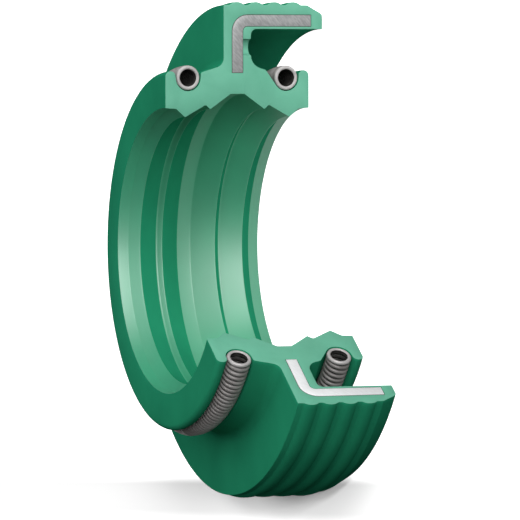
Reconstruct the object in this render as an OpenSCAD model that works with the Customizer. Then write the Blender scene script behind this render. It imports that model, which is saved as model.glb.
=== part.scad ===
// Fork cartridge seal, shown as a sectioned ring.
// A rubber ring with a sealing lip at each end of its bore is moulded round an L-shaped steel
// ring. A garter spring lies in a groove behind each lip, and ribs on the outside grip the housing.
// The seal's axis is Z. The plain end of the outer band rests on z = 0, and the wedge that is cut
// away to show the section is centred on -Y. All sizes are in millimetres.

/* [Section] */
// Angle of the wedge that is cut away
cut_away_angle = 125; // [60:5:180]

/* [Outer band] */
// Diameter of the plain band between the ribs
band_d = 21.74; // [21.4:0.02:23]
// Height of the band, from its resting end to the flange face
band_h = 4.7; // [4.5:0.05:5.2]
// Number of ribs round the band
rib_count = 4; // [1:1:4]
// How far a rib stands out of the band
rib_rise = 0.135; // [0.05:0.005:0.2]
// Width of a rib at its foot
rib_w = 0.7; // [0.5:0.02:0.8]
// Distance from one rib to the next
rib_pitch = 0.895; // [0.84:0.005:0.92]
// Height of the lowest rib's crest above the resting end
rib_start = 1.39; // [1.2:0.01:1.5]
// Height of the lead-in chamfer at the resting end
chamfer_h = 0.73; // [0.4:0.01:0.78]
// Depth of the lead-in chamfer
chamfer_w = 0.4; // [0.2:0.01:0.5]
// Radius between the chamfer and the end face
end_round = 0.2; // [0.05:0.05:0.3]

/* [Stiffener ring] */
// Thickness of the sheet that the ring is pressed from
sheet_t = 0.54; // [0.4:0.02:0.6]
// Inside diameter of the ring's flat leg
ring_bore_d = 15.7; // [15.2:0.05:16.5]
// Radius inside the ring's bend
bend_r = 0.2; // [0.1:0.05:0.4]
// Rubber between the ring and the ribbed outside
outer_cover = 0.42; // [0.3:0.01:0.6]
// Rubber between the ring and the inside of the skirt
inner_cover = 0.105; // [0.06:0.005:0.3]
// Rubber between the ring and the flange face
flange_cover = 0.385; // [0.2:0.005:0.5]
// Rubber between the ring and the floor of the cavity
floor_cover = 0.365; // [0.2:0.005:0.5]
// Rubber between the ring's open edge and the resting end
end_cover = 0.525; // [0.3:0.005:0.8]

/* [Pin pockets] */
// Number of pockets that a whole ring would have, left by the pins that hold the steel in the mould
pocket_count = 8; // [4:1:12]
// Diameter of a pocket
pocket_d = 0.73; // [0.4:0.01:0.9]
// Diameter of the circle that the pockets lie on
pocket_ring_d = 18; // [17.6:0.05:18.4]

/* [Sealing lips] */
// Diameter of the sealing edges, for a rod of 12 mm
lip_d = 11.8; // [11.4:0.05:12.1]
// Height of the lip section
lip_h = 6.8; // [6.7:0.05:7.2]
// Height of the lower lip's end above the resting end
lip_lift = 0.65; // [0.5:0.05:0.8]
// Distance of each sealing edge from the mid-plane of the lips
lip_reach = 2.48; // [2.3:0.02:2.6]
// Diameter of the land at each end of the bore
land_d = 12.6; // [12.3:0.05:13]
// Length of that land
land_w = 0.49; // [0.3:0.01:0.6]
// How much narrower the land is at its inner end, on the radius
land_draft = 0.03; // [0:0.01:0.1]
// Diameter of the second lips, which guide the rod
guide_d = 12.5; // [12.2:0.05:12.7]
// Distance of each second lip from the mid-plane
guide_reach = 1.285; // [1.2:0.005:1.4]
// Diameter of the grooves between the lips, before rounding
vee_d = 12.88; // [12.75:0.02:13.2]
// Distance of each of those grooves from the mid-plane
vee_reach = 1.5; // [1.45:0.01:1.6]
// Radius in the bottom of those grooves
vee_round = 0.1; // [0:0.02:0.16]
// Diameter of the grease groove in the middle of the bore
groove_d = 13.86; // [13.2:0.02:14.4]
// Width of that groove at its bottom
groove_w = 0.65; // [0.4:0.05:1]
// Radius along its edges
groove_round = 0.08; // [0:0.02:0.12]

/* [Waist] */
// Diameter of the lip section at its mid-plane, where the web joins it
waist_d = 16.8; // [16.6:0.05:17.2]
// Slope of the waist towards each end
waist_slope = 17; // [10:1:22]
// Radius between the waist and the flange face
flange_round = 0.42; // [0.2:0.02:0.5]
// Radius between the waist and the floor of the cavity
floor_round = 0.6; // [0.2:0.05:0.65]
// Radius between the floor of the cavity and the skirt
skirt_round = 0.27; // [0.1:0.01:0.4]

/* [Spring grooves] */
// Diameter of the circle that the springs' centres lie on
spring_ring_d = 15.28; // [15.1:0.02:15.5]
// Distance of each spring's centre from the mid-plane of the lips
spring_reach = 2.33; // [2.25:0.01:2.38]
// Gap between a spring and its groove
spring_clearance = 0.04; // [0.02:0.01:0.06]
// Diameter of the rim outside the upper spring
upper_rim_d = 15.86; // [15.6:0.02:16.2]
// Diameter of the rim outside the lower spring
lower_rim_d = 15.96; // [15.6:0.02:16.2]
// Radius on the shoulder beside the upper spring
shoulder_round = 0.12; // [0.05:0.01:0.16]
// Slope of the lower groove's open flank
flank_slope = 36; // [30:1:42]

/* [Garter springs] */
// Outside diameter of the coil
coil_d = 1.1; // [0.9:0.02:1.14]
// Diameter of the spring wire
wire_d = 0.18; // [0.12:0.01:0.22]
// Distance from one turn to the next
coil_pitch = 0.24; // [0.2:0.005:0.4]

/* [Hidden] */

$fn = 128;
sweep = 360 - cut_away_angle;
start_angle = cut_away_angle / 2 - 90;

band_r = band_d / 2;
mid_z = lip_lift + lip_h / 2;
lip_half = lip_h / 2;

// The L-shaped ring sits this far from the axis and the resting end
ring_outer_r = band_r - outer_cover;
ring_inner_r = ring_outer_r - sheet_t;
ring_top_z = band_h - flange_cover;
ring_under_z = ring_top_z - sheet_t;
skirt_r = ring_inner_r - inner_cover;
floor_z = ring_under_z - floor_cover;

// A spring groove is a round seat, open to the outside between its two walls
spring_r = spring_ring_d / 2;
seat_r = coil_d / 2 + spring_clearance;
seat_bottom_r = spring_r - seat_r;
seat_outer_wall = spring_reach + seat_r;
seat_inner_wall = spring_reach - seat_r;
rim_round = (lip_half - seat_outer_wall) / 2;

// Points on a corner that is rounded by an arc, or the corner itself where the radius is nothing.
// A corner is [radius, height, rounding].
ARC_STEP = 15;
function flat(p) = [p[0], p[1]];
function unit(v) = v / norm(v);
function turn(a, b) = atan2(a[0] * b[1] - a[1] * b[0], a * b);
function rounded_corner(before, corner, after) =
    let(
        here = flat(corner),
        to_before = unit(flat(before) - here),
        to_after = unit(flat(after) - here),
        half = abs(turn(to_before, to_after)) / 2,
        centre = here + unit(to_before + to_after) * corner[2] / sin(half),
        first = here + to_before * corner[2] / tan(half) - centre,
        last = here + to_after * corner[2] / tan(half) - centre,
        bend = turn(first, last),
        steps = ceil(abs(bend) / ARC_STEP),
        from = atan2(first[1], first[0])
    )
    [for (i = [0:steps]) centre + corner[2] * [cos(from + bend * i / steps), sin(from + bend * i / steps)]];
function rounded(corners) =
    let(n = len(corners))
    [for (i = [0:n - 1])
        each corners[i][2] == 0
            ? [flat(corners[i])]
            : rounded_corner(corners[(i + n - 1) % n], corners[i], corners[(i + 1) % n])];

// The waist is a cone on each side of the mid-plane
function waist_r(reach) = waist_d / 2 - reach * tan(waist_slope);

// The lower groove's open flank touches its seat at this angle, and meets the waist cone in an edge
flank_touch = 90 + flank_slope;
flank_point = [spring_r, spring_reach] + seat_r * [cos(flank_touch), -sin(flank_touch)];
flank_edge_reach = (flank_point[1] - (waist_d / 2 - flank_point[0]) * tan(flank_slope))
    / (1 - tan(flank_slope) * tan(waist_slope));
flank_foot_reach = flank_point[1] + (flank_point[0] - seat_bottom_r) * tan(flank_slope);

// Corners of one end of the lip section, given as [radius, distance from the mid-plane, rounding].
// They run from the middle of the bore, round the sealing lip and its rim, to the spring groove.
function lip_corners(rim_d) = [
    [groove_d / 2, groove_w / 2, groove_round],
    [guide_d / 2, guide_reach, 0],
    [vee_d / 2, vee_reach, vee_round],
    [lip_d / 2, lip_reach, 0],
    [land_d / 2 - land_draft, lip_half - land_w, 0],
    [land_d / 2, lip_half, 0],
    [rim_d / 2, lip_half, rim_round],
    [rim_d / 2, seat_outer_wall, rim_round],
    [seat_bottom_r, seat_outer_wall, seat_r],
];
// The upper groove has a straight inner wall up to a rounded shoulder
upper_groove_corners = [
    [seat_bottom_r, seat_inner_wall, seat_r],
    [waist_r(seat_inner_wall), seat_inner_wall, shoulder_round],
];

// The cavity's floor runs from the skirt to the waist. Its fillets are limited by the floor's width,
// and the one at the waist by the wall it runs into as well.
FILLET_SHARE = 0.9;
floor_reach = mid_z - floor_z;
floor_w = skirt_r - waist_r(floor_reach);
waist_wall = (flank_edge_reach - floor_reach) / cos(waist_slope);
waist_fillet_run = floor_round * tan(45 - waist_slope / 2);
floor_fit = min(1, FILLET_SHARE * floor_w / (waist_fillet_run + skirt_round));
waist_fit = min(floor_fit, FILLET_SHARE * waist_wall / waist_fillet_run);

// The lower groove opens along its flank up to a sharp edge on the waist. Where the waist is so wide
// that the flank reaches the floor first, the edge lies there.
flank_floor_r = flank_point[0] + (flank_point[1] - floor_reach) / tan(flank_slope);
lower_groove_corners = [
    [seat_bottom_r, flank_foot_reach, seat_r],
    if (waist_wall > 0) [waist_r(flank_edge_reach), flank_edge_reach, 0],
    waist_wall > 0
        ? [waist_r(floor_reach), floor_reach, floor_round * waist_fit]
        : [flank_floor_r, floor_reach, 0],
];
// Corners given from the mid-plane, turned into corners given from the resting end
function above(corners) = [for (c = corners) [c[0], mid_z + c[1], c[2]]];
function below(corners) = [
    for (i = [len(corners) - 1:-1:0])
        let(c = corners[i])
        [c[0], mid_z - c[1], c[2]]
];

// A rib is a low arch on the band, drawn from its upper foot to its lower one
rib_r = (rib_w * rib_w / 4 + rib_rise * rib_rise) / (2 * rib_rise);
rib_half_angle = asin(rib_w / 2 / rib_r);
RIB_STEPS = 8;
function rib(z) = [
    for (i = [0:RIB_STEPS])
        let(a = rib_half_angle * (1 - 2 * i / RIB_STEPS))
        [band_r + rib_rise - rib_r + rib_r * cos(a), z + rib_r * sin(a), 0]
];

// The whole rubber section, once round from the middle of the bore
body_corners = concat(
    above(lip_corners(upper_rim_d)),
    above(upper_groove_corners),
    [[waist_r(band_h - mid_z), band_h, flange_round], [band_r, band_h, 0]],
    [for (i = [rib_count - 1:-1:0]) each rib(rib_start + i * rib_pitch)],
    [
        [band_r, chamfer_h, 0],
        [band_r - chamfer_w, 0, end_round],
        [skirt_r, 0, 0],
        [skirt_r, floor_z, skirt_round * floor_fit],
    ],
    below(lower_groove_corners),
    below(lip_corners(lower_rim_d))
);

ring_corners = [
    [ring_bore_d / 2, ring_under_z, 0],
    [ring_bore_d / 2, ring_top_z, 0],
    [ring_outer_r, ring_top_z, bend_r + sheet_t],
    [ring_outer_r, end_cover, 0],
    [ring_inner_r, end_cover, 0],
    [ring_inner_r, ring_under_z, bend_r],
];

module ring_section() {
    polygon(rounded(ring_corners));
}

module body_section() {
    difference() {
        polygon(rounded(body_corners));
        ring_section();
    }
}

// Turns a section about the seal's axis, up to the two cut faces
module swept() {
    rotate([0, 0, start_angle])
        rotate_extrude(angle = sweep)
            children();
}

// The first pocket lies on the cut face, where it is seen in section
module pin_pockets() {
    for (i = [0:pocket_count - 1])
        if (i * 360 / pocket_count <= sweep)
            rotate([0, 0, start_angle + i * 360 / pocket_count])
                translate([pocket_ring_d / 2, 0, floor_z - floor_cover])
                    cylinder(h = 2 * floor_cover + sheet_t / 2, d = pocket_d, $fn = 48);
}

module seal_body() {
    color("#1f8a60")
        difference() {
            swept() body_section();
            pin_pockets();
        }
}

module stiffener_ring() {
    color("silver")
        swept() ring_section();
}

// A garter spring is wound close, so its outside is one long screw: a crest along the wire and a
// root between the turns. It has a plain closed turn at each cut face and a smooth bore inside.
COIL_SIDES = 9;
BORE_STEP = 5;
turns = floor((spring_r * sweep * PI / 180 - 2 * wire_d) / coil_pitch);
steps = turns * COIL_SIDES;
end_gap = wire_d / spring_r * 180 / PI;
rings = ceil(sweep / BORE_STEP);

// A point of the coil: its angle round the seal's axis, the angle round the wire's coil, its radius
function coil_point(along, round_coil, r) =
    let(reach = spring_r + r * cos(round_coil))
    [reach * cos(along), reach * sin(along), r * sin(round_coil)];
function side_angle(i) = 360 * i / COIL_SIDES;
function screw_angle(i) = end_gap + (sweep - 2 * end_gap) * i / steps;

crest_r = coil_d / 2;
root_r = crest_r - wire_d / 2;
bore_r = crest_r - wire_d;
half_turn = (screw_angle(COIL_SIDES) - screw_angle(0)) / 2;

crest = [for (i = [0:steps]) coil_point(screw_angle(i), side_angle(i), crest_r)];
root = [for (i = [0:steps - COIL_SIDES]) coil_point(screw_angle(i) + half_turn, side_angle(i), root_r)];
first_end = [for (i = [0:COIL_SIDES - 1]) coil_point(0, side_angle(i), crest_r)];
last_end = [for (i = [0:COIL_SIDES - 1]) coil_point(sweep, side_angle(i), crest_r)];
bore = [for (k = [0:rings]) for (i = [0:COIL_SIDES - 1]) coil_point(sweep * k / rings, side_angle(i), bore_r)];

// Where each group of points starts in the coil's list of points
CREST = 0;
ROOT = CREST + len(crest);
FIRST_END = ROOT + len(root);
LAST_END = FIRST_END + COIL_SIDES;
BORE = LAST_END + COIL_SIDES;
LAST_BORE = BORE + rings * COIL_SIDES;
LAST_TURN = steps - COIL_SIDES;

function next(i) = (i + 1) % COIL_SIDES;
function quad(a, b, c, d) = [[a, b, c], [a, c, d]];

screw_faces = [
    for (i = [0:LAST_TURN - 1])
        each concat(
            quad(CREST + i, ROOT + i, ROOT + i + 1, CREST + i + 1),
            quad(ROOT + i, CREST + i + COIL_SIDES, CREST + i + COIL_SIDES + 1, ROOT + i + 1)
        )
];
// The first turn closes against the first end, and the groove starts at a small wall
first_turn_faces = concat(
    [for (i = [0:COIL_SIDES - 2]) each quad(FIRST_END + i, CREST + i, CREST + i + 1, FIRST_END + i + 1)],
    [
        [CREST + COIL_SIDES - 1, FIRST_END, FIRST_END + COIL_SIDES - 1],
        [CREST + COIL_SIDES - 1, CREST, FIRST_END],
        [CREST + COIL_SIDES - 1, CREST + COIL_SIDES, CREST],
        [CREST, CREST + COIL_SIDES, ROOT],
    ]
);
last_turn_faces = concat(
    [for (i = [1:COIL_SIDES - 1])
        each quad(CREST + LAST_TURN + i, LAST_END + i, LAST_END + next(i), CREST + LAST_TURN + i + 1)],
    [
        [CREST + LAST_TURN + 1, LAST_END, LAST_END + 1],
        [CREST + LAST_TURN + 1, CREST + steps, LAST_END],
        [CREST + LAST_TURN + 1, CREST + LAST_TURN, CREST + steps],
        [CREST + LAST_TURN, ROOT + LAST_TURN, CREST + steps],
    ]
);
bore_faces = [
    for (k = [0:rings - 1])
        for (i = [0:COIL_SIDES - 1])
            let(here = BORE + k * COIL_SIDES)
            each quad(here + i, here + next(i), here + COIL_SIDES + next(i), here + COIL_SIDES + i)
];
end_faces = [
    for (i = [0:COIL_SIDES - 1])
        each concat(
            quad(FIRST_END + i, FIRST_END + next(i), BORE + next(i), BORE + i),
            quad(LAST_END + next(i), LAST_END + i, LAST_BORE + i, LAST_BORE + next(i))
        )
];

module garter_spring(z) {
    color("gainsboro")
        translate([0, 0, z])
            rotate([0, 0, start_angle])
                polyhedron(
                    points = concat(crest, root, first_end, last_end, bore),
                    faces = concat(screw_faces, first_turn_faces, last_turn_faces, bore_faces, end_faces),
                    convexity = 10
                );
}

module upper_garter_spring() {
    garter_spring(mid_z + spring_reach);
}

module lower_garter_spring() {
    garter_spring(mid_z - spring_reach);
}

seal_body();
stiffener_ring();
upper_garter_spring();
lower_garter_spring();
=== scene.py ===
# %% [markdown]
# # A rod seal, cut open to show its section
# This lesson dresses a small rubber seal for a fork cartridge. A wedge is cut out of it, so two
# flat faces show how it is made: green rubber moulded round a bent steel ring, with a garter
# spring in a groove behind each of its two lips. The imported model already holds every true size.
# Each visible piece is made again from it with more detail, and stays where the model has it.

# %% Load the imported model
import math

import bmesh
import bpy
from mathutils import Matrix, Vector


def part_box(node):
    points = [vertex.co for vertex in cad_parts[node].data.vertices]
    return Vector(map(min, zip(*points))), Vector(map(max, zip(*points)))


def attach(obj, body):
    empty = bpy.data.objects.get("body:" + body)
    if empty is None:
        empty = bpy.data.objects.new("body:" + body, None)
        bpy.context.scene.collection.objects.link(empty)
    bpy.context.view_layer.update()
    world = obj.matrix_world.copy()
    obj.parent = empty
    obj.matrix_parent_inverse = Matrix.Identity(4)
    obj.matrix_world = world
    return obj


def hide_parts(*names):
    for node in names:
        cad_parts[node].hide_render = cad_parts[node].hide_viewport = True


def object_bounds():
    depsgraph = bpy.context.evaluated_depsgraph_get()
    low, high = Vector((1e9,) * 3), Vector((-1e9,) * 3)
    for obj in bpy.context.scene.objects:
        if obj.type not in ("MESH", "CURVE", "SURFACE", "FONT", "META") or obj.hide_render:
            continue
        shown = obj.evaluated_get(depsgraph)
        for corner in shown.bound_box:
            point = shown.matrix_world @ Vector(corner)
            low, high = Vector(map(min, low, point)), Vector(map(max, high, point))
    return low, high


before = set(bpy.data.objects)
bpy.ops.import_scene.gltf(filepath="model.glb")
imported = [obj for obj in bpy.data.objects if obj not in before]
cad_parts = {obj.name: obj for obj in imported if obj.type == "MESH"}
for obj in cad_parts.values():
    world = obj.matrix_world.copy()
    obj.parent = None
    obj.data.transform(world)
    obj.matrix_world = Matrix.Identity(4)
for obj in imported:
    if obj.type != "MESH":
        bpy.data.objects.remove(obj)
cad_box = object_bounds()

MM = 0.001
scene = bpy.context.scene
scene.view_settings.view_transform = "Standard"
size = (cad_box[1] - cad_box[0]) / MM
print("The seal measures %.2f x %.2f x %.2f mm" % tuple(size))

# %% [markdown]
# ## The camera
# The picture was taken with a long lens, from in front of the wedge and a little above the seal,
# and the camera was turned on its side, so that the seal's axis runs across the picture. A camera
# that tracks a point gets its direction from that point. A turn about its own view axis, the
# roll, then lays it on its side. The camera comes first, because the rest is judged through it.

# %% Aim the camera
AIM = Vector((0, 1.1, 2.6)) * MM
DISTANCE = 218.05 * MM
AZIMUTH = math.radians(25.05)
ELEVATION = math.radians(21.24)
ROLL = math.radians(-90.9)

towards_camera = Vector((
    -math.sin(AZIMUTH) * math.cos(ELEVATION),
    -math.cos(AZIMUTH) * math.cos(ELEVATION),
    math.sin(ELEVATION),
))
lens = bpy.data.cameras.new("product_camera")
lens.lens = 337.5
lens.sensor_width = 36
lens.clip_start = 0.01
lens.clip_end = 10
camera = bpy.data.objects.new("product_camera", lens)
scene.collection.objects.link(camera)
level = (-towards_camera).to_track_quat("-Z", "Y").to_matrix()
rolled = level @ Matrix.Rotation(ROLL, 3, "Z")
camera.matrix_world = Matrix.Translation(AIM + towards_camera * DISTANCE) @ rolled.to_4x4()
scene.camera = camera
picture_right = rolled.col[0].copy()
picture_up = rolled.col[1].copy()
print("Up in the picture is", [round(c, 3) for c in picture_up])

# %% [markdown]
# ## Node helpers
# Every finish below is a small node graph round one Principled shader. Two helpers keep the
# graphs short to read: one starts a finish with its shader, the other adds a node with its
# settings and joins it up. A value that is the same all over the surface goes straight into the
# shader's own socket, so that an exporter finds it there.

# %% Write two helpers for node graphs
def new_finish(name, roughness, metallic=0.0):
    finish = bpy.data.materials.new(name)
    finish.use_nodes = True
    shader = finish.node_tree.nodes["Principled BSDF"]
    shader.inputs["Roughness"].default_value = roughness
    shader.inputs["Metallic"].default_value = metallic
    return finish, shader


def add_node(finish, kind, links=None, **settings):
    node = finish.node_tree.nodes.new(kind)
    for key, value in settings.items():
        if hasattr(node, key):
            setattr(node, key, value)
        else:
            node.inputs[key.replace("_", " ")].default_value = value
    for socket, source in (links or {}).items():
        finish.node_tree.links.new(source, node.inputs[socket])
    return node


print("Node helpers ready: new_finish, add_node")

# %% [markdown]
# ## Fine grain and slow drift
# No real surface has one even colour. A fine noise, mapped to two nearly equal colours, gives it
# a soft drift, and a still finer one through a Bump node gives the light something to catch. Both
# read Object coordinates, in metres, so the scale of a noise is the number of its waves in a
# metre: 4000 gives grain of a quarter of a millimetre.

# %% Write the helpers for drifting colour and grain
DARKEST_AT = 0.35
LIGHTEST_AT = 0.65


def drifting_colour(
    finish, shader, dark, light, scale, stretch=(1, 1, 1), turn=(0, 0, 0), detail=3.0,
):
    place = add_node(finish, "ShaderNodeTexCoord")
    lay = add_node(
        finish, "ShaderNodeMapping", {"Vector": place.outputs["Object"]},
        vector_type="TEXTURE", Scale=stretch, Rotation=turn,
    )
    noise = add_node(
        finish, "ShaderNodeTexNoise", {"Vector": lay.outputs["Vector"]}, Scale=scale, Detail=detail,
    )
    ramp = add_node(finish, "ShaderNodeValToRGB", {"Fac": noise.outputs["Fac"]})
    stops = ramp.color_ramp.elements
    stops[0].position = DARKEST_AT
    stops[0].color = (*dark, 1)
    stops[1].position = LIGHTEST_AT
    stops[1].color = (*light, 1)
    finish.node_tree.links.new(ramp.outputs["Color"], shader.inputs["Base Color"])
    return lay


def grain(finish, shader, lay, scale, depth):
    noise = add_node(
        finish, "ShaderNodeTexNoise", {"Vector": lay.outputs["Vector"]}, Scale=scale, Detail=2.0,
    )
    bump = add_node(
        finish, "ShaderNodeBump", {"Height": noise.outputs["Fac"]}, Distance=depth, Strength=0.5,
    )
    finish.node_tree.links.new(bump.outputs["Normal"], shader.inputs["Normal"])


print("Surface helpers ready: drifting_colour, grain")

# %% [markdown]
# ## The moulded rubber
# The skin of the seal is nitrile rubber, dyed green. Most of it comes from a blasted mould: it is
# deep in colour, nearly even, and shows no shine. The faces that guide the rod and spread
# its oil are moulded on a polished core, and there the same rubber has a satin sheen. So
# there are two finishes of one green. They differ in how rough they are and how much they reflect,
# and the satin one is also painted a little lighter: painted light, as if more light fell on
# those faces. The grain is so fine that it only breaks up the highlights.

# %% Mix the two moulded skins
SKIN_DARK = (0.017, 0.245, 0.127)
SKIN_LIGHT = (0.021, 0.285, 0.147)


def moulded_skin(name, roughness, reflection, index, painted_light_lift):
    skin, shader = new_finish(name, roughness)
    dark = [painted_light_lift * c for c in SKIN_DARK]
    light = [painted_light_lift * c for c in SKIN_LIGHT]
    lay = drifting_colour(skin, shader, dark, light, 300)
    grain(skin, shader, lay, 9000, 0.0000015)
    shader.inputs["Specular IOR Level"].default_value = reflection
    shader.inputs["IOR"].default_value = index
    print("Finish made:", name)
    return skin


matt_skin = moulded_skin("matt_green_rubber", roughness=0.6, reflection=0.0, index=1.5, painted_light_lift=1.0)
# Painted light: the satin skin's green is lifted 1.15 times, as if those faces were more brightly
# lit.
satin_skin_painted_lighter = moulded_skin(
    "satin_green_rubber_painted_lighter", roughness=0.5, reflection=1.0, index=1.76, painted_light_lift=1.15,
)

# %% [markdown]
# ## The sawn rubber
# Where the wedge was cut away, the rubber is sawn and then rubbed smooth. Its green is painted much
# paler than the skin: a painted sheen, since the surface itself hardly shines.

# %% Mix the sawn rubber
# Painted sheen: the pale green of the sawn faces stands in for the light they reflect.
sawn_rubber_painted_sheen, shader = new_finish("sawn_green_rubber_painted_sheen", roughness=0.6)
lay = drifting_colour(sawn_rubber_painted_sheen, shader, (0.113, 0.384, 0.259), (0.127, 0.413, 0.282), 900)
grain(sawn_rubber_painted_sheen, shader, lay, 12000, 0.000002)
shader.inputs["Specular IOR Level"].default_value = 0.3
print("Finish made:", sawn_rubber_painted_sheen.name)

# %% [markdown]
# ## The steel ring and its bond
# The ring is pressed from soft sheet steel. On the cut faces it was rubbed with paper, which
# leaves slanting scratches: noise that is drawn out along one direction. The two cut faces are
# copies of one steel in two tones of painted light: the near face is painted a dull grey, as if in
# shade, and the far face nearly white, a painted reflection of the light from above. Rubber
# only sticks to steel through a thin dark bonding coat, and that shows as a hairline round it.

# %% Mix the rubbed steel and the bonding coat
SLANT = (0, math.radians(-45), 0)


def rubbed_steel(name, dark, light):
    steel, shader = new_finish(name, roughness=0.5, metallic=0.45)
    lay = drifting_colour(
        steel, shader, dark, light, 14000, stretch=(4, 4, 1), turn=SLANT, detail=6.0,
    )
    grain(steel, shader, lay, 16000, 0.000002)
    print("Finish made:", name)
    return steel


# Painted light: a grey copy for the face in shade and a near-white copy for the lit face.
steel_painted_shade = rubbed_steel("rubbed_steel_painted_shade", (0.25, 0.255, 0.255), (0.35, 0.355, 0.355))
steel_painted_highlight = rubbed_steel("rubbed_steel_painted_highlight", (0.86, 0.87, 0.88), (0.93, 0.94, 0.95))

bonding_coat, shader = new_finish("dark_bonding_coat", roughness=0.7)
drifting_colour(bonding_coat, shader, (0.030, 0.024, 0.020), (0.055, 0.045, 0.038), 3000)
print("Finish made:", bonding_coat.name)

# %% [markdown]
# ## The spring wire
# Garter springs are wound from hard drawn wire and then blued, which leaves them a soft, slightly
# warm grey with hardly a glint. At the cuts the last turn is ground bright. The inside of the coil
# is painted near black: painted shade, where the coil hides its own inside from the light, and that
# is why one looks into a black hole at a cut end.

# %% Mix the three wire finishes
drawn_wire, shader = new_finish("grey_drawn_wire", roughness=0.55, metallic=0.3)
lay = drifting_colour(drawn_wire, shader, (0.22, 0.205, 0.20), (0.30, 0.285, 0.28), 2500)
grain(drawn_wire, shader, lay, 14000, 0.000002)

ground_wire, shader = new_finish("ground_wire_end", roughness=0.55, metallic=0.3)
drifting_colour(ground_wire, shader, (0.40, 0.385, 0.38), (0.48, 0.465, 0.46), 2500)

# Painted shade: the near-black finish for the coil's inside, where little light gets in.
wire_painted_shade, shader = new_finish("wire_painted_inner_shade", roughness=0.6)
drifting_colour(wire_painted_shade, shader, (0.016, 0.015, 0.014), (0.034, 0.032, 0.030), 2500)
shader.inputs["Specular IOR Level"].default_value = 0.2
print("Finishes made:", drawn_wire.name, ground_wire.name, wire_painted_shade.name)

# %% [markdown]
# ## Taking the section from the model
# A moulded ring is a turned shape: one flat outline, swung round an axis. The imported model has
# that outline on its far cut face, which no pin pocket crosses. So the outline is neither measured
# nor typed in: the faces in the cut plane are kept, everything else is deleted, and the border of
# what remains is the outline. It is then swung back to the near cut, ready to be spun.

# %% Find the cut planes and write the outline helper
CUT_AWAY = math.radians(125)
NEAR_CUT = CUT_AWAY / 2 - math.pi / 2
SWEEP = 2 * math.pi - CUT_AWAY
FAR_CUT = NEAR_CUT + SWEEP
AXIS = Vector((0, 0, 1))
IN_PLANE = 0.0005 * MM
SAME_PLACE = 0.0001 * MM


def off_plane(point, angle):
    return -point.x * math.sin(angle) + point.y * math.cos(angle)


def in_plane(vertices, angle):
    return all(abs(off_plane(v.co, angle)) < IN_PLANE for v in vertices)


def section_outline(node_name):
    outline = bmesh.new()
    outline.from_mesh(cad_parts[node_name].data)
    bmesh.ops.remove_doubles(outline, verts=outline.verts, dist=SAME_PLACE)
    others = [f for f in outline.faces if not in_plane(f.verts, FAR_CUT)]
    bmesh.ops.delete(outline, geom=others, context="FACES")
    inner = [e for e in outline.edges if not e.is_boundary]
    bmesh.ops.delete(outline, geom=outline.faces[:], context="FACES_ONLY")
    bmesh.ops.delete(outline, geom=inner, context="EDGES")
    turn_back = Matrix.Rotation(-SWEEP, 3, "Z")
    bmesh.ops.rotate(outline, cent=(0, 0, 0), matrix=turn_back, verts=outline.verts)
    print(node_name, "has", len(outline.verts), "corners in its section")
    return outline


print("The cuts lie at %.2f and %.2f degrees" % (math.degrees(NEAR_CUT), math.degrees(FAR_CUT)))

# %% [markdown]
# ## Easing the corners
# The outline has true fillets already, but where two straight lines meet it is dead sharp. No
# moulding tool is: a real corner has a radius of a few hundredths of a millimetre, which shows as
# a fine bright line. A vertex bevel on the flat outline rounds every sharp corner before it is
# spun, which is far lighter than a bevel on the finished ring.

# %% Write the corner helper
SHARP_TURN = math.radians(28)


def turn_at(vertex):
    first, second = [e.other_vert(vertex).co - vertex.co for e in vertex.link_edges]
    return math.pi - first.angle(second)


def ease_corners(outline, radius):
    sharp = [v for v in outline.verts if len(v.link_edges) == 2 and turn_at(v) > SHARP_TURN]
    bmesh.ops.bevel(
        outline, geom=sharp, offset=radius, offset_type="OFFSET", segments=3, profile=0.5,
        affect="VERTICES", clamp_overlap=True, material=-1,
    )
    print("Eased", len(sharp), "sharp corners")


print("A corner is sharp from a turn of %.0f degrees" % math.degrees(SHARP_TURN))

# %% [markdown]
# ## Spinning a section
# The spin operator swings the outline's edges round the axis and leaves a wall of faces behind.
# Both ends of that wall are open. Triangle fill closes them, and it understands a hole in the
# outline, such as the channel that the steel lies in.

# %% Write the spinning helper
STEP = math.radians(1.25)


def close_end(ring, edges, material):
    filled = bmesh.ops.triangle_fill(ring, edges=edges, use_beauty=True, use_dissolve=False)
    for made in filled["geom"]:
        if isinstance(made, bmesh.types.BMFace):
            made.material_index = material


def spin_section(outline, end_material):
    first_edges = outline.edges[:]
    spun = bmesh.ops.spin(
        outline, geom=outline.verts[:] + first_edges, cent=(0, 0, 0), axis=AXIS,
        dvec=(0, 0, 0), angle=SWEEP, steps=round(SWEEP / STEP), use_merge=False,
        use_duplicate=False,
    )
    last_edges = [g for g in spun["geom_last"] if isinstance(g, bmesh.types.BMEdge)]
    close_end(outline, first_edges, end_material)
    close_end(outline, last_edges, end_material)
    bmesh.ops.recalc_face_normals(outline, faces=outline.faces)


print("A section is spun in", round(SWEEP / STEP), "steps")

# %% [markdown]
# ## From a bmesh to a piece
# A bmesh is only a workbench: what is made on it has to be written to a mesh, and the mesh given to
# an object, before the scene shows it. One helper does that. The other one smooths the faces,
# marks the edges that turn by more than 28 degrees as sharp, gives the piece its finishes, and
# hangs it on the body, while the node of the model that it stands for is hidden.

# %% Write the helpers that make a piece
def object_from(shape, name):
    mesh = bpy.data.meshes.new(name)
    shape.to_mesh(mesh)
    shape.free()
    made = bpy.data.objects.new(name, mesh)
    scene.collection.objects.link(made)
    return made


def make_piece(name, shape, finishes, node_name):
    for face in shape.faces:
        face.smooth = True
    for edge in shape.edges:
        if len(edge.link_faces) == 2 and edge.calc_face_angle() > SHARP_TURN:
            edge.smooth = False
    piece = object_from(shape, name)
    for finish in finishes:
        piece.data.materials.append(finish)
    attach(piece, "root")
    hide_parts(node_name)
    piece.data.calc_loop_triangles()
    print(name, "has", len(piece.data.loop_triangles), "triangles")


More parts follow.
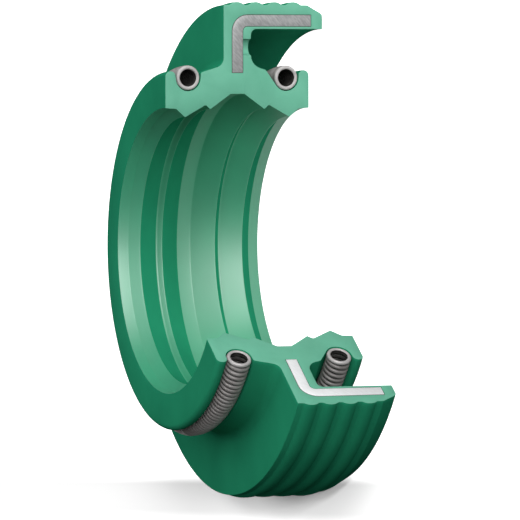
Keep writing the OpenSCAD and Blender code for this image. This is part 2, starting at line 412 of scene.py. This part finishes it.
print("Piece helpers ready: object_from, make_piece")

# %% [markdown]
# ## The rubber body
# The body is one moulding, from the ribbed band to the two lips. It could be built up from rings,
# but its section already has everything, so that is taken, eased and spun.

# %% Spin the body
CORNER_RADIUS = 0.03 * MM

body = section_outline("seal_body")
ease_corners(body, CORNER_RADIUS)
spin_section(body, end_material=1)
body_blank = object_from(body, "body_blank")
print("The body has", len(body_blank.data.polygons), "faces before its pockets are cut")

# %% [markdown]
# ## The pin pockets
# In the mould the steel ring stands on small pins, and each leaves a round hole in the floor of
# the cavity, down to the steel. The floor is made of many thin faces, and to knit round holes into
# it by hand would be slow. So plain cylinders stand where the pins were, and a Boolean modifier
# takes them out. One pocket lies right on the near cut, so that its half shows there.

# %% Stand the cutters where the pins were
POCKETS = 8
POCKET_D = 0.73 * MM
POCKET_RING_R = 9.0 * MM
FLOOR_Z = 3.41 * MM
STEEL_Z = 3.775 * MM
BELOW_FLOOR = 0.25 * MM
INTO_STEEL = 0.15 * MM

pins = bmesh.new()
for i in range(POCKETS):
    angle = NEAR_CUT + i * 2 * math.pi / POCKETS
    if angle > FAR_CUT:
        continue
    base = Vector((POCKET_RING_R * math.cos(angle), POCKET_RING_R * math.sin(angle), 0))
    middle = (FLOOR_Z - BELOW_FLOOR + STEEL_Z + INTO_STEEL) / 2
    bmesh.ops.create_cone(
        pins, cap_ends=True, segments=48, radius1=POCKET_D / 2, radius2=POCKET_D / 2,
        depth=STEEL_Z + INTO_STEEL - FLOOR_Z + BELOW_FLOOR,
        matrix=Matrix.Translation(base + AXIS * middle),
    )
mould_pins = object_from(pins, "mould_pins")
print("The cutters have", len(mould_pins.data.polygons), "faces")

# %% Cut the pin pockets
cut = body_blank.modifiers.new("pin_pockets", "BOOLEAN")
cut.operation = "DIFFERENCE"
cut.solver = "EXACT"
cut.object = mould_pins
bpy.context.view_layer.update()
solid = body_blank.evaluated_get(bpy.context.evaluated_depsgraph_get())
body = bmesh.new()
body.from_mesh(solid.to_mesh())
solid.to_mesh_clear()
bpy.data.objects.remove(mould_pins)
bpy.data.objects.remove(body_blank)
print("The body has", len(body.faces), "faces with its pockets cut")

# %% [markdown]
# ## Breaking the sawn edges
# A saw leaves an edge that is at once rubbed down a little. This narrow slope catches the light
# all along the section and draws it as a pale line, so it matters more than its size suggests. It
# is a bevel on exactly those edges that have the cut face on one side and the skin on the other.
# Limited dissolve first melts each cut face into a few large flat ones, so that the bevel can run
# round them cleanly.

# %% Bevel the edges of the cut faces
BROKEN_EDGE = 0.03 * MM


def break_cut_edges(shape, width, material):
    for angle in (NEAR_CUT, FAR_CUT):
        flat = {f for f in shape.faces if in_plane(f.verts, angle)}
        bmesh.ops.dissolve_limit(
            shape, angle_limit=math.radians(0.5), use_dissolve_boundaries=False,
            verts=[], edges=[e for e in shape.edges if all(f in flat for f in e.link_faces)],
        )
        flat = {f for f in shape.faces if in_plane(f.verts, angle)}
        border = [e for e in shape.edges if sum(f in flat for f in e.link_faces) == 1]
        broken = bmesh.ops.bevel(
            shape, geom=border, offset=width, offset_type="OFFSET", segments=2, profile=0.5,
            affect="EDGES", clamp_overlap=True, material=-1,
        )
        for face in broken["faces"]:
            face.material_index = material
        flat = [f for f in shape.faces if in_plane(f.verts, angle)]
        bmesh.ops.triangulate(shape, faces=flat, ngon_method="BEAUTY")
        print("Broke", len(border), "edges of a cut face")


# The broken edges take the sawn finish too, so their pale line is partly caught light and partly
# its painted sheen.
break_cut_edges(body, BROKEN_EDGE, material=1)

# %% [markdown]
# ## Which faces are polished and painted lighter
# A face of the bore is polished if it looks at the rod or towards the flange, and matt if it
# looks down at the plain end. So its normal decides, together with its distance from the axis.
# The polished faces also get the lighter satin green, which is painted light.
# The walls of the pin pockets get the pale green of the cuts, a painted sheen as if light fell on
# them.

# %% Share out the finishes of the body
BORE_R = 6.95 * MM
BACK_SLOPE = -0.3
FACES_ROD = 0.3

for face in body.faces:
    middle = face.calc_center_median()
    radius = math.hypot(middle.x, middle.y)
    inward = -(face.normal.x * middle.x + face.normal.y * middle.y) / radius
    polished_painted_lighter = radius < BORE_R and inward > FACES_ROD and face.normal.z > BACK_SLOPE
    if face.material_index == 0 and polished_painted_lighter:
        face.material_index = 2
    # The pocket walls take the sawn finish, whose pale green is a painted sheen.
    if FLOOR_Z < middle.z < STEEL_Z and abs(radius - POCKET_RING_R) < POCKET_D / 2:
        face.material_index = 1
satin_painted_lighter_faces = sum(f.material_index == 2 for f in body.faces)
print(satin_painted_lighter_faces, "of", len(body.faces), "faces are polished")
make_piece("green_rubber_body", body, [matt_skin, sawn_rubber_painted_sheen, satin_skin_painted_lighter], "seal_body")

# %% [markdown]
# ## The steel ring
# The ring is spun from its own section in the same way, so it fills its channel to the last
# hundredth. Its cut edges are broken too, and that narrow slope gets the dark bonding coat, which
# is the hairline between steel and rubber.

# %% Spin the steel ring
HAIRLINE = 0.025 * MM

steel = section_outline("stiffener_ring")
spin_section(steel, end_material=0)
# The far cut face gets the near-white steel, its painted reflection.
for face in steel.faces:
    if in_plane(face.verts, FAR_CUT):
        face.material_index = 2
break_cut_edges(steel, HAIRLINE, material=1)
make_piece(
    "pressed_steel_ring", steel, [steel_painted_shade, bonding_coat, steel_painted_highlight],
    "stiffener_ring",
)

# %% [markdown]
# ## The garter springs
# A garter spring is a close coil of fine wire, bent round into a ring. It is made the way the
# factory makes it. A small circle, the end of the wire, is spun once round the coil's axis while
# it moves along, which the spin operator does with its dvec setting. One such turn is doubled
# seven times to 128 turns, which is far quicker than spinning them all, and the straight coil is
# then bent to the ring's radius. At each cut the coil runs out into one closed turn, a full spin
# without any advance.

# %% Wind a straight coil
COIL_R = 0.46 * MM
WIRE_R = 0.09 * MM
SPRING_R = 7.64 * MM
WIRE_SIDES = 10
TURN_STEPS = 24
DOUBLINGS = 7


def wire_end(coil, x):
    place = Matrix.Translation((x, COIL_R, 0))
    made = bmesh.ops.create_circle(
        coil, cap_ends=False, segments=WIRE_SIDES, radius=WIRE_R, matrix=place,
    )
    return made["verts"], list({e for v in made["verts"] for e in v.link_edges})


def spin_wire(coil, x, advance, steps, merge):
    verts, edges = wire_end(coil, x)
    bmesh.ops.spin(
        coil, geom=verts + edges, cent=(0, 0, 0), axis=(1, 0, 0), dvec=(advance / steps, 0, 0),
        angle=2 * math.pi, steps=steps, use_merge=merge, use_duplicate=False,
    )


def wind_spring():
    spring = bmesh.new()
    length = SPRING_R * SWEEP
    pitch = (length - 2 * WIRE_R) / 2 ** DOUBLINGS
    spin_wire(spring, WIRE_R, pitch, TURN_STEPS, merge=False)
    for i in range(DOUBLINGS):
        wound = spring.verts[:] + spring.edges[:] + spring.faces[:]
        copy = bmesh.ops.duplicate(spring, geom=wound)
        moved = [g for g in copy["geom"] if isinstance(g, bmesh.types.BMVert)]
        bmesh.ops.translate(spring, verts=moved, vec=(pitch * 2 ** i, 0, 0))
    bmesh.ops.remove_doubles(spring, verts=spring.verts, dist=SAME_PLACE)
    bmesh.ops.holes_fill(spring, edges=[e for e in spring.edges if e.is_boundary], sides=0)
    for x in (WIRE_R, length - WIRE_R):
        coil_faces = len(spring.faces)
        spin_wire(spring, x, 0, 2 * TURN_STEPS, merge=True)
        spring.faces.ensure_lookup_table()
        for face in spring.faces[coil_faces:]:
            face.material_index = 2
    print("The coil has", 2 ** DOUBLINGS, "turns, one every %.3f mm" % (pitch / MM))
    return spring


print("The spring is %.2f mm over its coil" % (2 * (COIL_R + WIRE_R) / MM))

# %% [markdown]
# ## Painting the inner shade and bending the coil
# While the coil is still straight, its inner side is easy to find, by the distance from the
# coil's own axis. So its painted shade, near black, goes on first. Bending is then one line of
# geometry for each vertex: its place along the coil becomes an angle round the seal. A Simple
# Deform modifier could bend it too, but it would need its origin and limits set with care for the
# same result.

# %% Write the helpers that paint the inner shade and bend
SHADE_FROM = 0.45 * WIRE_R
SHADE_FROM_AT_END = 0.8 * WIRE_R


def paint_inner_shade(spring):
    for face in spring.faces:
        middle = face.calc_center_median()
        shade_from = SHADE_FROM_AT_END if face.material_index == 2 else SHADE_FROM
        if math.hypot(middle.y, middle.z) < COIL_R - shade_from:
            face.material_index = 1


def bend_spring(spring, z):
    for v in spring.verts:
        angle = NEAR_CUT + v.co.x / SPRING_R
        r = SPRING_R + v.co.y
        v.co = (r * math.cos(angle), r * math.sin(angle), z + v.co.z)
    bmesh.ops.recalc_face_normals(spring, faces=spring.faces)


print("Spring helpers ready: paint_inner_shade, bend_spring")

# %% [markdown]
# ## The sleeve, and both springs
# A garter spring is wound straight, and its two ends are then joined. Here a plain sleeve hides
# the joint for a few degrees. It could be a cylinder pushed over the coil, but that would be
# straight. A small disc, swung round the seal's axis, bends with the groove. The sleeve's two flat
# ends are left bright.

# %% Join the ends and seat both springs
SLEEVE_R = 0.57 * MM
SLEEVE_SIDES = 40
SLEEVE_START = math.radians(135)
SLEEVE_SWEEP = math.radians(20)
SLEEVE_STEPS = 16


def add_sleeve(spring, z):
    wound = set(spring.faces)
    place = Matrix.Rotation(SLEEVE_START, 4, "Z") @ Matrix.Translation((SPRING_R, 0, z))
    made = bmesh.ops.create_circle(
        spring, cap_ends=True, segments=SLEEVE_SIDES, radius=SLEEVE_R,
        matrix=place @ Matrix.Rotation(math.pi / 2, 4, "X"),
    )
    ends = list({f for v in made["verts"] for f in v.link_faces})
    bmesh.ops.spin(
        spring, geom=ends, cent=(0, 0, 0), axis=AXIS, dvec=(0, 0, 0), angle=SLEEVE_SWEEP,
        steps=SLEEVE_STEPS, use_merge=False, use_duplicate=False,
    )
    sleeve = [f for f in spring.faces if f not in wound]
    for face in sleeve:
        if len(face.verts) > 4:
            face.material_index = 2
    bmesh.ops.recalc_face_normals(spring, faces=sleeve)
    print("The sleeve has", len(sleeve), "faces")


for name in ("upper", "lower"):
    node_name = name + "_garter_spring"
    low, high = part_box(node_name)
    middle_z = (low[2] + high[2]) / 2
    spring = wind_spring()
    paint_inner_shade(spring)
    bend_spring(spring, middle_z)
    add_sleeve(spring, middle_z)
    make_piece(
        name + "_coil_spring", spring, [drawn_wire, wire_painted_shade, ground_wire],
        node_name,
    )

# %% [markdown]
# ## The floor
# The seal lies on its plain end on a white table, and the table fills the whole picture. One
# square of mesh is enough for it. It lies a hair under the seal, so that no two faces share a
# plane, which would show as specks.

# %% Lay the floor
FLOOR_SIZE = 3.0
FLOOR_GAP = 0.02 * MM

table = bmesh.new()
bmesh.ops.create_grid(table, x_segments=1, y_segments=1, size=FLOOR_SIZE / 2)
white_table = object_from(table, "white_table")
white_table.location.z = -FLOOR_GAP
print("The table is %.0f m wide" % FLOOR_SIZE)

# %% [markdown]
# ## The table's white and its one shadow
# Product pictures have a pure white ground with one soft shadow. A photographer gets that from a
# sheet of opal glass that is lit from below, which drowns every shadow, and masks the lamp where
# one shadow is to stay. Here the table glows for the camera alone, through a Light Path node, and
# two ramps across it leave a strip without glow, just under the seal in the picture. From another
# side the strip is seen as a grey streak beside the seal. Reflections see the table glow too. The
# light that the table throws back on the seal comes from its Base Color, which is darker for light
# than for the camera: dark on the strip's side of the seal, where a black card would stand, and
# paler on the other.

# %% Write the helpers for the table's white
table_white, shader = new_finish("table_white", roughness=1.0)
shader.inputs["Specular IOR Level"].default_value = 0
rays = add_node(table_white, "ShaderNodeLightPath")
place = add_node(table_white, "ShaderNodeTexCoord")


def combine(operation, first, second):
    return add_node(
        table_white, "ShaderNodeMath", {0: first, 1: second}, operation=operation,
    ).outputs[0]


def scaled(source, factor):
    node = add_node(table_white, "ShaderNodeMath", {0: source}, operation="MULTIPLY")
    node.inputs[1].default_value = factor
    return node.outputs[0]


def ramp_across(along, start, end, low, high):
    dot = add_node(
        table_white, "ShaderNodeVectorMath", {0: place.outputs["Object"]}, operation="DOT_PRODUCT",
    )
    dot.inputs[1].default_value = along
    ramp = add_node(
        table_white, "ShaderNodeMapRange", {"Value": dot.outputs["Value"]},
        interpolation_type="SMOOTHSTEP", From_Min=start, From_Max=end, To_Min=low, To_Max=high,
    )
    return ramp.outputs[0]


print("Table helpers ready: combine, scaled, ramp_across")

# %% Mix the table's white
PAINT = 0.4
MIRRORED_GLOW = 0.35
ACROSS_THE_TABLE = (1, 0, 0)
DOWN_THE_PICTURE = (-0.920, 0.392, 0)

bounce = ramp_across(ACROSS_THE_TABLE, -6 * MM, 5 * MM, 0.02, 0.20)
base = combine("MAXIMUM", scaled(rays.outputs["Is Camera Ray"], PAINT), bounce)
table_white.node_tree.links.new(base, shader.inputs["Base Color"])

above = ramp_across(DOWN_THE_PICTURE, 9.9 * MM, 10.6 * MM, 1.0, 0.0)
below = ramp_across(DOWN_THE_PICTURE, 11.8 * MM, 13.2 * MM, 0.0, 1.0)
to_camera = combine("MULTIPLY", rays.outputs["Is Camera Ray"], combine("MAXIMUM", above, below))
mirrored = combine("MAXIMUM", rays.outputs["Is Glossy Ray"], rays.outputs["Is Transmission Ray"])
glow = combine("ADD", to_camera, scaled(mirrored, MIRRORED_GLOW))
shader.inputs["Emission Color"].default_value = (1, 1, 1, 1)
table_white.node_tree.links.new(glow, shader.inputs["Emission Strength"])
white_table.data.materials.append(table_white)
print("Finish made:", table_white.name)

# %% [markdown]
# ## The light
# A seal this small is lit with a few soft boxes, close to it. They are placed by the directions
# of the picture, its up, its right and towards the camera, since that is how a photographer
# would think of them. The table lies upright in this picture, at the right of the seal. So a box
# that shines into the bore has to stand low over the table. It is wide and flat, and gives the
# bore its pale sheen. Three more boxes light only the table, through light linking, and each one
# draws a part of the one shadow: to the left, under and to the right of the seal. Where none is
# blocked they bring the strip without glow to the same white as the rest. They stand far away,
# so that their light is even.

# %% Hang the lamps
NEAR_BY = 0.40
FAR_AWAY = 1.20


def soft_box(name, right, up, front, distance, width, power, height=None):
    direction = (picture_right * right + picture_up * up + towards_camera * front).normalized()
    lamp = bpy.data.lights.new(name, "AREA")
    lamp.shape = "RECTANGLE"
    lamp.size = width
    lamp.size_y = height or width
    lamp.energy = power
    box = bpy.data.objects.new(name, lamp)
    scene.collection.objects.link(box)
    aim = direction.to_track_quat("Z", "Y").to_matrix().to_4x4()
    box.matrix_world = Matrix.Translation(AIM + direction * distance) @ aim
    return box


soft_box("overhead_box", -0.83, 0.27, 0.42, NEAR_BY, width=0.40, power=0.83)
soft_box("face_box", 0.11, 0.25, 0.96, NEAR_BY, width=0.16, power=0.59)
soft_box("bore_box", 0.19, 0.50, 0.85, NEAR_BY, width=0.48, power=1.02, height=0.16)
soft_box("side_box", 0.04, 0.70, 0.71, NEAR_BY, width=0.16, power=0.30)

only_table = bpy.data.collections.new("lit_by_the_shadow_boxes")
only_table.objects.link(white_table)
for shadow_box in (
    soft_box("left_shadow_box", 0.12, 0.07, 0.99, FAR_AWAY, width=0.15, power=50),
    soft_box("middle_shadow_box", -0.15, 0.15, 0.97, FAR_AWAY, width=0.12, power=19),
    soft_box("right_shadow_box", -0.70, 0.31, 0.64, FAR_AWAY, width=0.40, power=6.0),
):
    shadow_box.light_linking.receiver_collection = only_table

room = bpy.data.worlds.new("studio")
scene.world = room
room.use_nodes = True
background = room.node_tree.nodes["Background"]
background.inputs["Color"].default_value = (1, 1, 1, 1)
background.inputs["Strength"].default_value = 0.05

# %% [markdown]
# ## Bring the scene up to date
# The view layer is updated once more at the end. The dressed seal may not be larger than the
# imported model.

# %% Update the view layer
bpy.context.view_layer.update()
